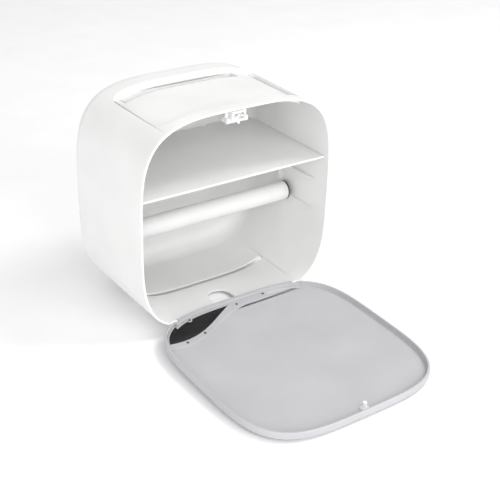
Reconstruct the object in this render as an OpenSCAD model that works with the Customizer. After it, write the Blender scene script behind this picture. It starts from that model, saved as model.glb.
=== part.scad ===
// Wall-mounted toilet paper holder with a storage shelf, a phone tray and a drop-down door.
// Built with the mouth of the case on the plane y = 0, the case standing on z = 0 and x = 0 in
// the middle; to_mount() then moves everything so that the origin is the centre of the face
// that goes against the wall. +X is to the right, +Y towards the wall and +Z up.

/* [Case] */
// Width of the case
case_w = 210; // [190:1:260]
// Height of the case
case_h = 211; // [190:1:260]
// Depth of the case from its mouth to its back face
case_d = 138; // [125:1:180]
// Wall thickness of the case
wall = 2; // [1.6:0.1:3]
// How square the outline is: 2 is an ellipse, higher is squarer
squareness = 3.85; // [3.2:0.05:5]
// Rounding where the walls meet the back
back_r = 20; // [12:1:40]

/* [Top tray] */
// Half of the width of the tray in the top
tray_half_w = 77.5; // [60:0.5:80]
// Where the tray starts behind the mouth
tray_front = 13.5; // [8:0.5:30]
// Length of the tray from front to back
tray_len = 89; // [60:1:95]
// Depth of the tray below the top
tray_depth = 3.5; // [1:0.1:5]
// Corner radius of the tray
tray_r = 11; // [4:0.5:20]
// Length of the slot that a phone stands in
phone_slot_len = 124; // [90:1:135]
// Width of the phone slot
phone_slot_w = 14; // [9:0.5:16]
// How far the phone slot sits left of the middle
phone_slot_shift = 8; // [0:1:12]
// How far the phone slot's floor is below the top
phone_slot_depth = 17; // [12:0.5:24]

/* [Floor openings] */
// Half of the length of the paper slot in the floor
paper_slot_half = 74; // [50:1:78]
// Width of the paper slot
paper_slot_w = 6; // [4:0.5:10]
// Distance of the paper slot behind the mouth
paper_slot_y = 64.5; // [50:0.5:90]
// Width of the finger notch at the front of the floor
notch_w = 24.5; // [16:0.5:36]
// How far the finger notch reaches behind the mouth
notch_depth = 43.5; // [24:0.5:50]

/* [Shelf] */
// Height of the shelf's top face
shelf_z = 139.5; // [130:0.5:160]
// Thickness of the shelf
shelf_t = 2; // [1.6:0.1:4]
// Gap between the shelf and the walls
shelf_gap = 0.3; // [0.2:0.1:0.6]
// Gap between the shut door and the shelf
shelf_front_gap = 1; // [0.4:0.1:3]

/* [Roller] */
// Outer diameter of the roller tube
roller_d = 19.6; // [16:0.2:26]
// Wall thickness of the roller tube
roller_wall = 1.6; // [1.2:0.1:2.5]
// Diameter of the axle
axle_d = 6; // [4:0.5:8]
// Height of the roller's axis
roller_z = 82.7; // [76:0.5:90]
// Distance of the roller's axis behind the mouth
roller_y = 62.4; // [50:0.5:70]
// Thickness of the black end rings
ring_t = 1.5; // [1:0.1:3]
// Gap between a black end ring and the guide ribs
ring_gap = 0.5; // [0.3:0.1:1.5]
// How far the guide ribs stand out from the side wall
rib_reach = 4; // [3:0.5:8]
// Thickness of the guide ribs
rib_t = 2; // [1.6:0.1:3]
// Height of the upper guide rib's top face
upper_rib_z = 111; // [105:0.5:125]
// Distance of the rear guide rib behind the mouth
rear_rib_y = 73; // [70:0.5:84]

/* [Door] */
// Gap between the shut door and the case
door_gap = 0.4; // [0.3:0.05:1]
// How far the door's outer face stands in front of the mouth
door_proud = 0.8; // [0.4:0.1:2]
// How far the door's rim reaches into the mouth
rim_depth = 6; // [5:0.1:9]
// Thickness of the door's skin
skin = 2.2; // [1.8:0.1:3]
// Thickness of the rim round the door
rim_w = 2.2; // [1.8:0.1:3.5]
// Thickness of the bar along the door's hinge side
bar_w = 5.4; // [4:0.1:7]
// Height of the hinge axis above the case's underside
hinge_z = 9; // [8.4:0.1:11]
// Distance of the hinge axis behind the mouth
hinge_y = 3; // [2.6:0.1:3.6]
// Height of the case's outline where its hinge lugs start, which sets how far apart they are
lug_rise = 5.2484; // [4.4:0.0001:6]
// Diameter of the hinge pins
pin_d = 3; // [2:0.1:3.2]

/* [Latch] */
// Distance of the latch and its striker from the middle
latch_x = 1; // [-6:0.5:6]
// Travel of the latch's slider
latch_travel = 3; // [2:0.1:4]
// Angle through which each jaw opens
jaw_open = 18; // [10:1:20]

/* [Wall plate] */
// Width of the wall plate
plate_w = 95; // [70:1:110]
// Height of the wall plate
plate_h = 57; // [45:1:70]
// Thickness of the wall plate
plate_t = 2.8; // [2:0.1:4]
// Thickness of the adhesive foam pad
pad_t = 1.5; // [0.8:0.1:3]
// Height of the wall plate's centre above the case's underside
plate_z = 107; // [100:1:125]
// Distance between the two screw holes in the wall plate
plate_hole_gap = 76; // [50:1:80]
// Diameter of the screw holes in the wall plate
plate_hole_d = 4.4; // [3:0.1:5.5]

/* [Hidden] */

white = [0.93, 0.93, 0.925];
door_grey = [0.80, 0.80, 0.81];
retainer_grey = [0.85, 0.85, 0.86];
smoke = [0.14, 0.14, 0.15];
black = [0.08, 0.08, 0.08];
steel = [0.72, 0.72, 0.74];
foam = [0.30, 0.31, 0.33];

eps = 0.01;
over = 1;                              // how far a cut runs past the face it opens
sides = 72;                            // corners in the squircle outline
seat_gap = 0.2;                        // clearance round pieces that drop into a seat
mid_z = case_h / 2;
half_w = case_w / 2;

// --- outline ---------------------------------------------------------------------------------

function side(v) = v < 0 ? -1 : 1;
function bulge(c) = side(c) * pow(abs(c), 2 / squareness);
// the first corners stand half a step off the axes, so each side has a true flat in its middle
flat_fix = 1 / pow(cos(180 / sides), 2 / squareness);

// one ring of the outline, drawn in by inset, at depth y
function ring(inset, y) = [
  for (i = [0 : sides - 1])
    let (t = 360 * (i + 0.5) / sides)
    [(half_w - inset) * flat_fix * bulge(cos(t)), y, mid_z + (mid_z - inset) * flat_fix * bulge(sin(t))]
];

// the height of the outline's lower half at x, drawn in by inset
function low_z(x, inset) =
  mid_z - (mid_z - inset) * pow(1 - pow(abs(x) / (half_w - inset), squareness), 1 / squareness);
// x where the case's outline has risen to z, and with it the inner end of a hinge lug
function x_at(z) = half_w * pow(1 - pow((mid_z - z) / mid_z, squareness), 1 / squareness);
lug_x = x_at(lug_rise);

// a closed skin through rings that follow each other along +Y
module loft(rings) {
  n = len(rings[0]);
  m = len(rings);
  polyhedron(
    points = [for (r = rings) each r],
    faces = concat(
      [[for (i = [n - 1 : -1 : 0]) i], [for (i = [0 : n - 1]) (m - 1) * n + i]],
      [for (j = [0 : m - 2], i = [0 : n - 1])
        [j * n + i, j * n + (i + 1) % n, (j + 1) * n + (i + 1) % n, (j + 1) * n + i]]
    ),
    convexity = 6
  );
}

module outline_prism(inset, y0, y1) loft([ring(inset, y0), ring(inset, y1)]);

// the outline as a flat shape in x and z, for pieces of the door
module outline_2d(inset) polygon([for (p = ring(inset, 0)) [p[0], p[2]]]);

// a flat shape in x and z, raised from depth y0 to y1
module raise(y0, y1) translate([0, y1, 0]) rotate([90, 0, 0]) linear_extrude(y1 - y0) children();

// a block whose four upright edges are round
module round_block(x0, x1, y0, y1, z0, z1, r) {
  translate([x0 + r, y0, z0]) cube([x1 - x0 - 2 * r, y1 - y0, z1 - z0]);
  translate([x0, y0 + r, z0]) cube([x1 - x0, y1 - y0 - 2 * r, z1 - z0]);
  for (x = [x0 + r, x1 - r], y = [y0 + r, y1 - r])
    translate([x, y, z0]) cylinder(r = r, h = z1 - z0, $fn = 48);
}

// a plate against the back, in x and z, with round corners
module back_block(w, h, y0, y1, r) {
  translate([0, y1, plate_z]) rotate([90, 0, 0])
    round_block(-w / 2, w / 2, -h / 2, h / 2, 0, y1 - y0, r);
}

// a cylinder along X from x0 to x1
module bar_x(x0, x1, r) translate([x0, 0, 0]) rotate([0, 90, 0]) cylinder(r = r, h = x1 - x0, $fn = 64);

module at_hinge() translate([0, hinge_y, hinge_z]) children();
module at_roller() translate([0, roller_y, roller_z]) children();
module both_sides() for (m = [0, 1]) mirror([m, 0, 0]) children();

// --- places ----------------------------------------------------------------------------------

recess_clear = seat_gap;
mount_y = case_d + 0.5;                        // the wall face stands just behind the case
recess_floor_y = mount_y - pad_t - plate_t - recess_clear;
module to_mount() translate([0, -mount_y, -plate_z]) children();

latch_top_z = case_h - tray_depth - wall;      // the face under the tray that the latch hangs from
latch_z = latch_top_z - 5;

// the open door rests on its far edge
door_inset = wall + door_gap;
axis_to_face = hinge_y + door_proud;
axis_to_far_edge = case_h - door_inset - hinge_z;
door_tilt = asin(hinge_z / norm([axis_to_far_edge, axis_to_face])) - atan2(axis_to_face, axis_to_far_edge);
module door_open() at_hinge() rotate([90 + door_tilt, 0, 0]) translate([0, -hinge_y, -hinge_z]) children();

// --- case ------------------------------------------------------------------------------------

tray_back = tray_front + tray_len;
phone_x0 = -phone_slot_shift - phone_slot_len / 2;
phone_x1 = phone_x0 + phone_slot_len;
phone_y1 = tray_back - 3;
phone_y0 = phone_y1 - phone_slot_w;
phone_floor_z = case_h - phone_slot_depth;
rim_round = 0.5;
rim_lead = 0.6;                                // lead-in chamfer round the inside of the mouth
relief_r = 8;                                  // room that the door's hinge end swings in
relief_skin = 1;                               // wall left under the middle of that room
relief_open_z = hinge_z - 4.4;                 // above this the corners of that room are open
lug_r = 2.6;
lug_end = lug_x + 9;
pin_len = 11;
pin_x0 = lug_x - 5.4;
inner_x = half_w - wall;
rib_x = inner_x - rib_reach;
lower_rib_z = roller_z - axle_d / 2 - 0.3;
rib_front = 14;
rib_taper = 12;
stop_h = 6;
rail_w = 3;
rail_h = 2.4;

module outer_body() loft(concat(
  [ring(rim_round, 0), ring(rim_round * 0.15, rim_round * 0.6), ring(0, 3 * rim_round)],
  [for (k = [0 : 6]) ring(back_r * (1 - cos(15 * k)), case_d - back_r + back_r * sin(15 * k))]
));

// the hollow of the case, drawn in by a further gap
module cavity(gap) {
  inset = wall + gap;
  r = back_r - inset;
  loft(concat(
    [ring(inset - rim_lead, -over), ring(inset - rim_lead, 0), ring(inset, 2 * rim_lead + 0.2)],
    [for (k = [0 : 6]) ring(inset + r * (1 - cos(15 * k)), case_d - back_r + r * sin(15 * k))]
  ));
}

module tray_block(grow) round_block(
  -tray_half_w - grow, tray_half_w + grow, tray_front - grow, tray_back + grow,
  mid_z, case_h + over, tray_r + grow
);
module phone_block(grow, top) round_block(
  phone_x0 - grow, phone_x1 + grow, phone_y0 - grow, phone_y1 + grow, phone_floor_z - grow, top, 2 + grow
);

// the tray's floor and the trough of the phone slot, under the top wall
module tray_underside() {
  difference() {
    intersection() {
      tray_block(wall);
      outline_prism(rim_round, tray_front - wall, tray_back + wall);
    }
    outline_prism(tray_depth + wall, 0, case_d);
  }
  intersection() {
    phone_block(wall, case_h);
    outline_prism(tray_depth, 0, case_d);
  }
}
module tray_cut() {
  difference() {
    tray_block(0);
    outline_prism(tray_depth, 0, case_d);
  }
  phone_block(0, case_h);
}

// one guide rib: a shelf on the side wall whose front end runs out into the wall
module guide_rib(z_top, y_end) translate([0, 0, z_top - rib_t]) linear_extrude(rib_t) polygon([
  [inner_x + wall / 2, rib_front], [rib_x, rib_front + rib_taper], [rib_x, y_end], [inner_x + wall / 2, y_end]
]);

module side_fittings() intersection() {
  outline_prism(wall / 2, 0, case_d - back_r);
  both_sides() {
    guide_rib(lower_rib_z, rear_rib_y + rib_t);
    guide_rib(upper_rib_z, rear_rib_y + rib_t);
    translate([rib_x, rear_rib_y, lower_rib_z - rib_t]) cube([half_w - rib_x, rib_t + 1, upper_rib_z - lower_rib_z + rib_t]);
    translate([rib_x, roller_y + axle_d / 2 + 0.3, lower_rib_z - rib_t])
      cube([half_w - rib_x, rear_rib_y - roller_y - axle_d / 2, stop_h + rib_t]);
    translate([inner_x - rail_w, 2 * rib_front, shelf_z - shelf_t - rail_h])
      cube([half_w - inner_x + rail_w, case_d - back_r - 3 * rib_front, rail_h]);
  }
}

// the room in the floor for the door's hinge end
module hinge_relief() intersection() {
  at_hinge() bar_x(-lug_x, lug_x, relief_r);
  union() {
    outline_prism(relief_skin, -over, 2 * relief_r);
    translate([-lug_x, -over, relief_open_z]) cube([2 * lug_x, 2 * relief_r, relief_r]);
  }
}
module lug() intersection() {
  outline_prism(0, 0, 4 * lug_r);
  at_hinge() bar_x(lug_x, lug_end, lug_r);
}

module plate_recess(grow, front) back_block(plate_w + 1 + 2 * grow, plate_h + 1 + 2 * grow, front, case_d + over, 6 + grow);
hook_x = 27;
hook_w = 12;
hook_z = plate_z + 8;
hook_slot_h = 8.5;
module hook_slots() both_sides()
  translate([hook_x - hook_w / 2 - 0.5, recess_floor_y - wall - over, hook_z - hook_slot_h + 3])
    cube([hook_w + 1, wall + 2 * over, hook_slot_h]);

module case_shell() to_mount() color(white) difference() {
  union() {
    difference() {
      outer_body();
      cavity(0);
      hinge_relief();
    }
    tray_underside();
    side_fittings();
    both_sides() lug();
    intersection() {
      plate_recess(wall, recess_floor_y - wall);
      outer_body();
    }
  }
  tray_cut();
  plate_recess(0, recess_floor_y);
  hook_slots();
  round_block(-paper_slot_half, paper_slot_half, paper_slot_y - paper_slot_w / 2, paper_slot_y + paper_slot_w / 2,
    -over, low_z(paper_slot_half, wall) + 2, paper_slot_w / 2 - eps);
  translate([-notch_w / 2, -over, -over]) cube([notch_w, notch_depth - notch_w / 2 + over, wall + 2 * over]);
  translate([0, notch_depth - notch_w / 2, -over]) cylinder(d = notch_w, h = wall + 2 * over, $fn = 96);
  both_sides() at_hinge() bar_x(lug_x - over, pin_x0 + pin_len, pin_d / 2);
  at_latch_screws() translate([0, 0, latch_top_z - over]) cylinder(r = latch_screw_r, h = wall + over - 0.3, $fn = 32);
}

module storage_shelf() to_mount() color(white) intersection() {
  cavity(shelf_gap);
  difference() {
    translate([-half_w, rim_depth + shelf_front_gap, shelf_z - shelf_t]) cube([case_w, case_d, shelf_t]);
    plate_recess(wall + shelf_gap, recess_floor_y - wall - shelf_gap);
  }
}

module hinge_pin(m) to_mount() color(steel) mirror([m, 0, 0]) at_hinge()
  bar_x(pin_x0, pin_x0 + pin_len, pin_d / 2);

// --- door, drawn shut ------------------------------------------------------------------------

bar_half = lug_x + 4.9;                        // the bar runs between the two corners
boss_r = 3;
boss_x0 = lug_x - 6.5;
boss_x1 = lug_x - 0.4;
pin_clear = 0.08;
scallop_r = 4.8;
scallop_end = lug_x + 14;
floor_y = skin - door_proud;                   // the inside face of the door's skin
lens_step = 1.2;
lens_flange = 1.1;
lens_proud = 0.2;
retainer_t = 2;
retainer_lip = 0.7;
retainer_end_x = 34;
retainer_reach = 1.5;
seam_base_z = 15.5;
seam_peak_z = 47.5;
seam_peak_x = -80;
seam_foot_x = 12;
window_base_z = 1.3;
window_peak_z = 41.5;
window_peak_x = -78;
window_foot_x = 24;

screw_r = 0.9;
screw_head_r = 1.2;
screw_head_h = 0.6;
screw_keep_r = screw_r + seat_gap;

// a smooth step that falls from peak to base between two places on x
function fall(x, x_peak, x_foot, peak, base) =
  x >= x_foot ? base : base + (peak - base) * (1 - cos(180 * (x_foot - x) / (x_foot - x_peak))) / 2;
function seam_z(x) = fall(x, seam_peak_x, seam_foot_x, seam_peak_z, seam_base_z);
function window_z(x) = fall(x, window_peak_x, window_foot_x, window_peak_z, window_base_z);

// x and z of the screws: some beside the bar, the others between the window and the seam
bar_screw_at = [for (x = [-56, 31]) [x, low_z(x, door_inset + bar_w) + 1.9]];
seam_screw_at = [for (x = [-77, -55, -2])
  [x, (max(window_z(x) - retainer_reach, low_z(x, door_inset + bar_w)) + seam_z(x)) / 2]];
retainer_screw_at = concat(bar_screw_at, seam_screw_at);

// everything between the hinge side and a wavy line
module below_seam(x_end) polygon(concat(
  [[-half_w, 0]], [for (x = [-half_w : 3 : x_end]) [x, seam_z(x)]], [[x_end, seam_z(x_end)], [x_end, 0]]
));
module below_window(margin) polygon(concat(
  [[-half_w, 0]], [for (x = [-half_w : 3 : window_foot_x]) [x, window_z(x) - margin]], [[window_foot_x, 0]]
));

// the inside of the rim, less the bar along the hinge side
module pan_2d(margin) difference() {
  outline_2d(door_inset + rim_w + margin);
  intersection() {
    difference() {
      outline_2d(door_inset);
      outline_2d(door_inset + bar_w + margin);
    }
    translate([-bar_half - margin, 0]) square([2 * (bar_half + margin), mid_z]);
  }
}
module window_2d(margin) difference() {
  intersection() {
    pan_2d(margin);
    below_window(margin);
  }
  for (p = bar_screw_at) translate(p) circle(r = screw_keep_r + margin, $fn = 32);
}
module retainer_2d() intersection() {
  pan_2d(seat_gap);
  below_seam(retainer_end_x);
}

module door_blank() loft([
  ring(door_inset + 1.2, -door_proud), ring(door_inset + 0.4, -door_proud + 0.3), ring(door_inset, 0.2),
  ring(door_inset + 0.1, rim_depth - 1.2), ring(door_inset + 0.4, rim_depth - 0.4), ring(door_inset + 1, rim_depth)
]);

module door_bosses() both_sides() at_hinge() bar_x(boss_x0, boss_x1, boss_r);

module door_shell() to_mount() door_open() color(door_grey) difference() {
  union() {
    difference() {
      door_blank();
      raise(floor_y, rim_depth + over) pan_2d(0);
    }
    door_bosses();
  }
  both_sides() at_hinge() bar_x(boss_x0 - over, boss_x1 + over, pin_d / 2 + pin_clear);
  both_sides() at_hinge() bar_x(lug_x - 0.2, scallop_end, scallop_r);
  raise(-door_proud - over, floor_y + over) window_2d(lens_step);
  retainer_holes(floor_y - 1.4);
}

// the lens: a plug that fills the opening and a flange that lies on the skin round it
module window_lens() to_mount() door_open() color(smoke) {
  raise(lens_proud - door_proud, floor_y) window_2d(lens_step + seat_gap);
  raise(floor_y, floor_y + lens_flange) window_2d(seat_gap);
}

module retainer_holes(y0) for (p = retainer_screw_at)
  translate([p[0], y0, p[1]]) rotate([-90, 0, 0]) cylinder(r = screw_r, h = rim_depth, $fn = 24);

module window_retainer() to_mount() door_open() color(retainer_grey) difference() {
  raise(floor_y, floor_y + retainer_t) retainer_2d();
  raise(floor_y - over, floor_y + retainer_t - retainer_lip) window_2d(0);
  raise(floor_y - over, floor_y + retainer_t + over) window_2d(retainer_reach);
  retainer_holes(floor_y - over);
}

module retainer_screws() to_mount() door_open() color(black) for (p = retainer_screw_at)
  translate([p[0], floor_y - 1.4, p[1]]) rotate([-90, 0, 0]) {
    cylinder(r = screw_r, h = 1.4 + retainer_t, $fn = 24);
    translate([0, 0, 1.4 + retainer_t]) cylinder(r = screw_head_r, h = screw_head_h, $fn = 24);
  }

// the post that the latch's jaws hold when the door is shut
neck_r = 1;
head_r = 1.9;
head_y = 6.5;
head_t = 1.2;
foot_t = 0.8;
module door_striker() to_mount() door_open() color(white) translate([latch_x, 0, latch_z]) {
  translate([-4, floor_y, -2.6]) cube([8, foot_t, 5.2]);
  translate([0, floor_y, 0]) rotate([-90, 0, 0]) cylinder(r = neck_r, h = head_y - floor_y + eps, $fn = 32);
  translate([0, head_y, 0]) rotate([-90, 0, 0]) cylinder(r = head_r, h = head_t, $fn = 32);
}

// --- latch -----------------------------------------------------------------------------------

latch_front = 7;
latch_back = 29.5;
latch_half = 7.4;
latch_h = 10;
channel_half = 4.6;
mouth_half = 4.9;
mouth_end = 15;
channel_h = 5.6;
channel_back = 28;
groove_half = 2.2;
groove_h = 1.3;
ear_x = 9.2;
ear_y = 14;
ear_r = 2.2;
ear_h = 4.5;
latch_screw_r = 1.3;
latch_screw_head_r = 2.4;
latch_screw_head_h = 1.6;
slider_half = 4.3;
slider_h = 5;
slider_front = 8.2;
slider_block = 11.8;
slider_back = 22;
fork_t = 0.9;
nose_half = 1.2;                               // the nose between the jaws that meets the striker
jaw_x = 3.2;
jaw_y = 9.8;
jaw_hub_r = 1.5;
jaw_pin_r = 0.8;
jaw_h = 2.4;
jaw_tip_y = 2.2;
hook_inner = 1.3;
arm_inner = 2.3;
cam_clear = 0.12;
cam_steps = 6;
hook_t = 1.1;
spring_front = 17.5;
spring_pocket_r = 2;
cam_y = 26.5;
cam_tip_y = 15.6;
cam_wire_r = 0.4;
cam_arm_z = channel_h / 2 + groove_h / 2;

module at_latch() translate([latch_x, 0, latch_z]) children();
module at_latch_screws() for (s = [-1, 1]) translate([latch_x + s * ear_x, ear_y, 0]) children();
module latch_box(half, y0, y1, z0, z1) translate([-half, y0, z0]) cube([2 * half, y1 - y0, z1 - z0]);

module latch_housing() to_mount() color(white) difference() {
  union() {
    at_latch() latch_box(latch_half, latch_front, latch_back, -latch_h / 2, latch_h / 2);
    at_latch_screws() translate([0, 0, latch_top_z - latch_h - 1.5]) cylinder(r = ear_r, h = latch_h + 1.5, $fn = 32);
    at_latch() translate([-ear_x - ear_r, ear_y - 4.5, -latch_h / 2 - 1.5]) cube([2 * (ear_x + ear_r), 9, ear_h]);
    at_latch() translate([0.5, latch_front + 2, -latch_h / 2 - 2.6]) cylinder(r = 1.4, h = 3, $fn = 24);
  }
  at_latch() {
    latch_box(mouth_half, latch_front - over, mouth_end, -channel_h / 2, channel_h / 2);
    latch_box(channel_half, latch_front - over, channel_back, -channel_h / 2, channel_h / 2);
    latch_box(groove_half, slider_block, channel_back, 0, channel_h / 2 + groove_h);
    translate([0, cam_y, 0]) cylinder(r = cam_wire_r + 0.08, h = channel_h / 2 + groove_h + 0.6, $fn = 24);
  }
  at_latch_screws() cylinder(r = latch_screw_r + 0.1, h = case_h, $fn = 32);
}

module latch_screws() to_mount() color(steel) at_latch_screws() {
  translate([0, 0, latch_top_z - latch_h - 1.5 - latch_screw_head_h])
    cylinder(r = latch_screw_head_r, h = latch_screw_head_h, $fn = 32);
  translate([0, 0, latch_top_z - latch_h - 1.5]) cylinder(r = latch_screw_r, h = latch_h + 1.5 + wall - 0.4, $fn = 32);
}

module latch_slider() to_mount() color(white) at_latch() {
  difference() {
    latch_box(slider_half, slider_block, slider_back, -slider_h / 2, slider_h / 2);
    translate([0, spring_front, 0]) rotate([-90, 0, 0]) cylinder(r = spring_pocket_r, h = slider_back, $fn = 32);
    latch_box(groove_half, 11.9, 16.9, slider_h / 2 - 1.1, slider_h / 2 + over);
  }
  latch_box(nose_half, head_y + head_t + seat_gap, slider_block + eps, -nose_half, nose_half);
  for (s = [-1, 1]) mirror([0, 0, s < 0 ? 1 : 0])
    latch_box(slider_half, slider_front, slider_block, slider_h / 2 - fork_t, slider_h / 2);
  for (s = [-1, 1]) translate([s * jaw_x, jaw_y, -slider_h / 2 + eps])
    cylinder(r = jaw_pin_r, h = slider_h - 2 * eps, $fn = 32);
}

// the arm's outer flank is the cam that the housing's mouth squeezes shut as the slider goes in:
// each point is where the mouth's edge meets the arm at one stage of the travel
function flank(k) = let (d = jaw_y - latch_front + latch_travel * k / cam_steps, a = jaw_open * (1 - k / cam_steps))
  [jaw_x + (mouth_half - cam_clear - jaw_x - d * sin(a)) / cos(a), jaw_y - d];

// one jaw, drawn closed and then turned open about its pin
module latch_jaw(m) to_mount() color(white) at_latch() mirror([m, 0, 0])
  translate([jaw_x, jaw_y, 0]) rotate([0, 0, jaw_open]) translate([-jaw_x, -jaw_y, -jaw_h / 2])
  difference() {
    union() {
      translate([jaw_x, jaw_y, 0]) cylinder(r = jaw_hub_r, h = jaw_h, $fn = 48);
      linear_extrude(jaw_h) polygon(concat(
        [[arm_inner, jaw_y], [arm_inner, jaw_tip_y + hook_t], [hook_inner, jaw_tip_y + hook_t],
          [hook_inner, jaw_tip_y + hook_t / 2], [arm_inner, jaw_tip_y]],
        [for (k = [cam_steps : -1 : 0]) flank(k)],
        [[jaw_x + jaw_hub_r / 2, jaw_y]]
      ));
    }
    translate([jaw_x, jaw_y, -over]) cylinder(r = jaw_pin_r + 0.08, h = jaw_h + 2 * over, $fn = 32);
  }

// the coil: rings of eight corners swept along a helix about Y
spring_r = 1.55;
spring_wire_r = 0.25;
spring_turns = 7;
spring_steps = 10;                             // rings in one turn
spring_len = channel_back - spring_front;
module latch_spring() to_mount() color(steel) at_latch() {
  count = spring_turns * spring_steps;
  span = spring_len - 2 * spring_wire_r;
  loft([for (k = [0 : count]) let (a = 360 * k / spring_steps, y = spring_front + spring_wire_r + span * k / count)
    [for (i = [0 : 7]) let (b = 45 * i, rr = spring_r + spring_wire_r * cos(b))
      [rr * cos(a), y + spring_wire_r * sin(b), rr * sin(a)]]]);
}

module latch_cam_pin() to_mount() color(steel) at_latch() {
  translate([0, cam_y, cam_arm_z - cam_wire_r]) cylinder(r = cam_wire_r, h = 2 * cam_wire_r + 0.7, $fn = 24);
  translate([0, cam_y, cam_arm_z]) rotate([90, 0, 0]) cylinder(r = cam_wire_r, h = cam_y - cam_tip_y, $fn = 24);
  translate([0, cam_tip_y, slider_h / 2 - 0.8]) cylinder(r = cam_wire_r, h = cam_arm_z - slider_h / 2 + 0.8 + cam_wire_r, $fn = 24);
}

// --- roller ----------------------------------------------------------------------------------

ring_end = rib_x - ring_gap;                   // outer face of the black rings
cap_end = ring_end - ring_t;
cap_flange_t = 2.5;
cap_plug_len = 14;
axle_end = inner_x - 0.8;
axle_clear = 0.06;
tube_end = cap_end - cap_flange_t;
tube_bore_r = roller_d / 2 - roller_wall;

module roller_axle() to_mount() color(steel) at_roller() bar_x(-axle_end, axle_end, axle_d / 2);

module roller_tube() to_mount() color(white) at_roller() difference() {
  bar_x(-tube_end, tube_end, roller_d / 2);
  bar_x(-tube_end - over, tube_end + over, tube_bore_r);
}

module roller_cap(m) to_mount() color(white) at_roller() mirror([m, 0, 0]) difference() {
  union() {
    bar_x(tube_end, cap_end, roller_d / 2);
    bar_x(tube_end - cap_plug_len, tube_end, tube_bore_r);
  }
  bar_x(tube_end - cap_plug_len - over, cap_end + over, axle_d / 2 + axle_clear);
}

module roller_ring(m) to_mount() color(black) at_roller() mirror([m, 0, 0]) difference() {
  bar_x(cap_end, ring_end, roller_d / 2);
  bar_x(cap_end - over, ring_end + over, axle_d / 2 + axle_clear);
}

// --- wall plate ------------------------------------------------------------------------------

pad_front = mount_y - pad_t;
plate_front = pad_front - plate_t;
lip_t = 1.8;
lip_gap = 0.2;
neck_h = 2.8;
lip_h = 8;
module plate_holes(d, y0, y1) for (s = [-1, 1]) translate([s * plate_hole_gap / 2, y1, plate_z])
  rotate([90, 0, 0]) cylinder(d = d, h = y1 - y0, $fn = 48);

// the plate and the two hooks that the case hangs on
module wall_plate() to_mount() color(white) difference() {
  union() {
    back_block(plate_w, plate_h, plate_front, pad_front, 6);
    both_sides() translate([hook_x - hook_w / 2, 0, hook_z]) {
      translate([0, plate_front - recess_clear - wall - lip_gap - lip_t, 0])
        cube([hook_w, recess_clear + wall + lip_gap + lip_t + eps, neck_h]);
      translate([0, plate_front - recess_clear - wall - lip_gap - lip_t, 0]) cube([hook_w, lip_t, lip_h]);
    }
  }
  plate_holes(plate_hole_d, plate_front - over, pad_front + over);
}

module adhesive_pad() to_mount() color(foam) difference() {
  back_block(plate_w - 4, plate_h - 4, pad_front, mount_y, 5);
  plate_holes(plate_hole_d + 2, pad_front - over, mount_y + over);
}

case_shell();
storage_shelf();
hinge_pin(1);  // hinge_pin_left
hinge_pin(0);  // hinge_pin_right
latch_housing();
latch_slider();
latch_jaw(1);  // latch_jaw_left
latch_jaw(0);  // latch_jaw_right
latch_spring();
latch_cam_pin();
latch_screws();
wall_plate();
adhesive_pad();
door_shell();
window_lens();
window_retainer();
retainer_screws();
door_striker();
roller_axle();
roller_tube();
roller_cap(1);  // roller_cap_left
roller_cap(0);  // roller_cap_right
roller_ring(1);  // roller_ring_left
roller_ring(0);  // roller_ring_right
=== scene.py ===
import math

import bmesh
import bpy
from mathutils import Matrix, Vector


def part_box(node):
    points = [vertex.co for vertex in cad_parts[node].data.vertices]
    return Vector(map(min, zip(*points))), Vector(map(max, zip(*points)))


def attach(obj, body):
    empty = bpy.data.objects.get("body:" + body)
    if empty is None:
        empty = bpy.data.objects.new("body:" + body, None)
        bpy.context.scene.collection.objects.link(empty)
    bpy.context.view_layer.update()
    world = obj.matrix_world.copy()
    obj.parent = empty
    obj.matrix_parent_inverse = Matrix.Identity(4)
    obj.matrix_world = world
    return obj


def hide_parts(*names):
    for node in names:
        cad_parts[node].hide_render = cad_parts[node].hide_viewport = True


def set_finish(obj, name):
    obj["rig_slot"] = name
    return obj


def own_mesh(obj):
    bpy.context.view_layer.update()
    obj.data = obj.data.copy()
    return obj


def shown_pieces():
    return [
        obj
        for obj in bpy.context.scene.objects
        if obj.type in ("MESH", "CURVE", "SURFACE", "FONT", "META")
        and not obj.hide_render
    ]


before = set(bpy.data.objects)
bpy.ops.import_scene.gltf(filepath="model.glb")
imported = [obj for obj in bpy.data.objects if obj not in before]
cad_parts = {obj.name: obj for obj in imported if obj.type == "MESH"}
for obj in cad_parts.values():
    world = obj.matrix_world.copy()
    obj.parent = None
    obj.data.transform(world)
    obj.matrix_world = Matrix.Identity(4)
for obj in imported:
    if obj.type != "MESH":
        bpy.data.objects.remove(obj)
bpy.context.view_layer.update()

# The case's mouth is y = 0 and its underside z = 0 in this file, in millimetres.
case_lo, case_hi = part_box("case_shell")
MOUTH = case_lo.y
UNDERSIDE = case_lo.z
MM = 0.001


def at(x, y, z):
    """A point given in millimetres from the mouth and the underside, in the row frame."""
    return Vector((x * MM, MOUTH + y * MM, UNDERSIDE + z * MM))


# ---------------------------------------------------------------------------------------------
# Sizes of the moulding, the same as the solids'
# ---------------------------------------------------------------------------------------------
HALF_W = (case_hi.x - case_lo.x) / MM / 2
HEIGHT = (case_hi.z - case_lo.z) / MM
DEPTH = (case_hi.y - case_lo.y) / MM
MID = HEIGHT / 2
POWER = 3.85
WALL = 2.0
BACK_R = 20.0
OUTLINE_STEPS = 208

HINGE = (3.0, 9.0)
DOOR_GAP = 2.4
RIM = 2.2
BAR = 5.4
BAR_HALF = 72.0
FLOOR_Y = 1.4
RIM_Y = 6.0
FACE_Y = -0.8
LUG_X = 67.1

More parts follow.
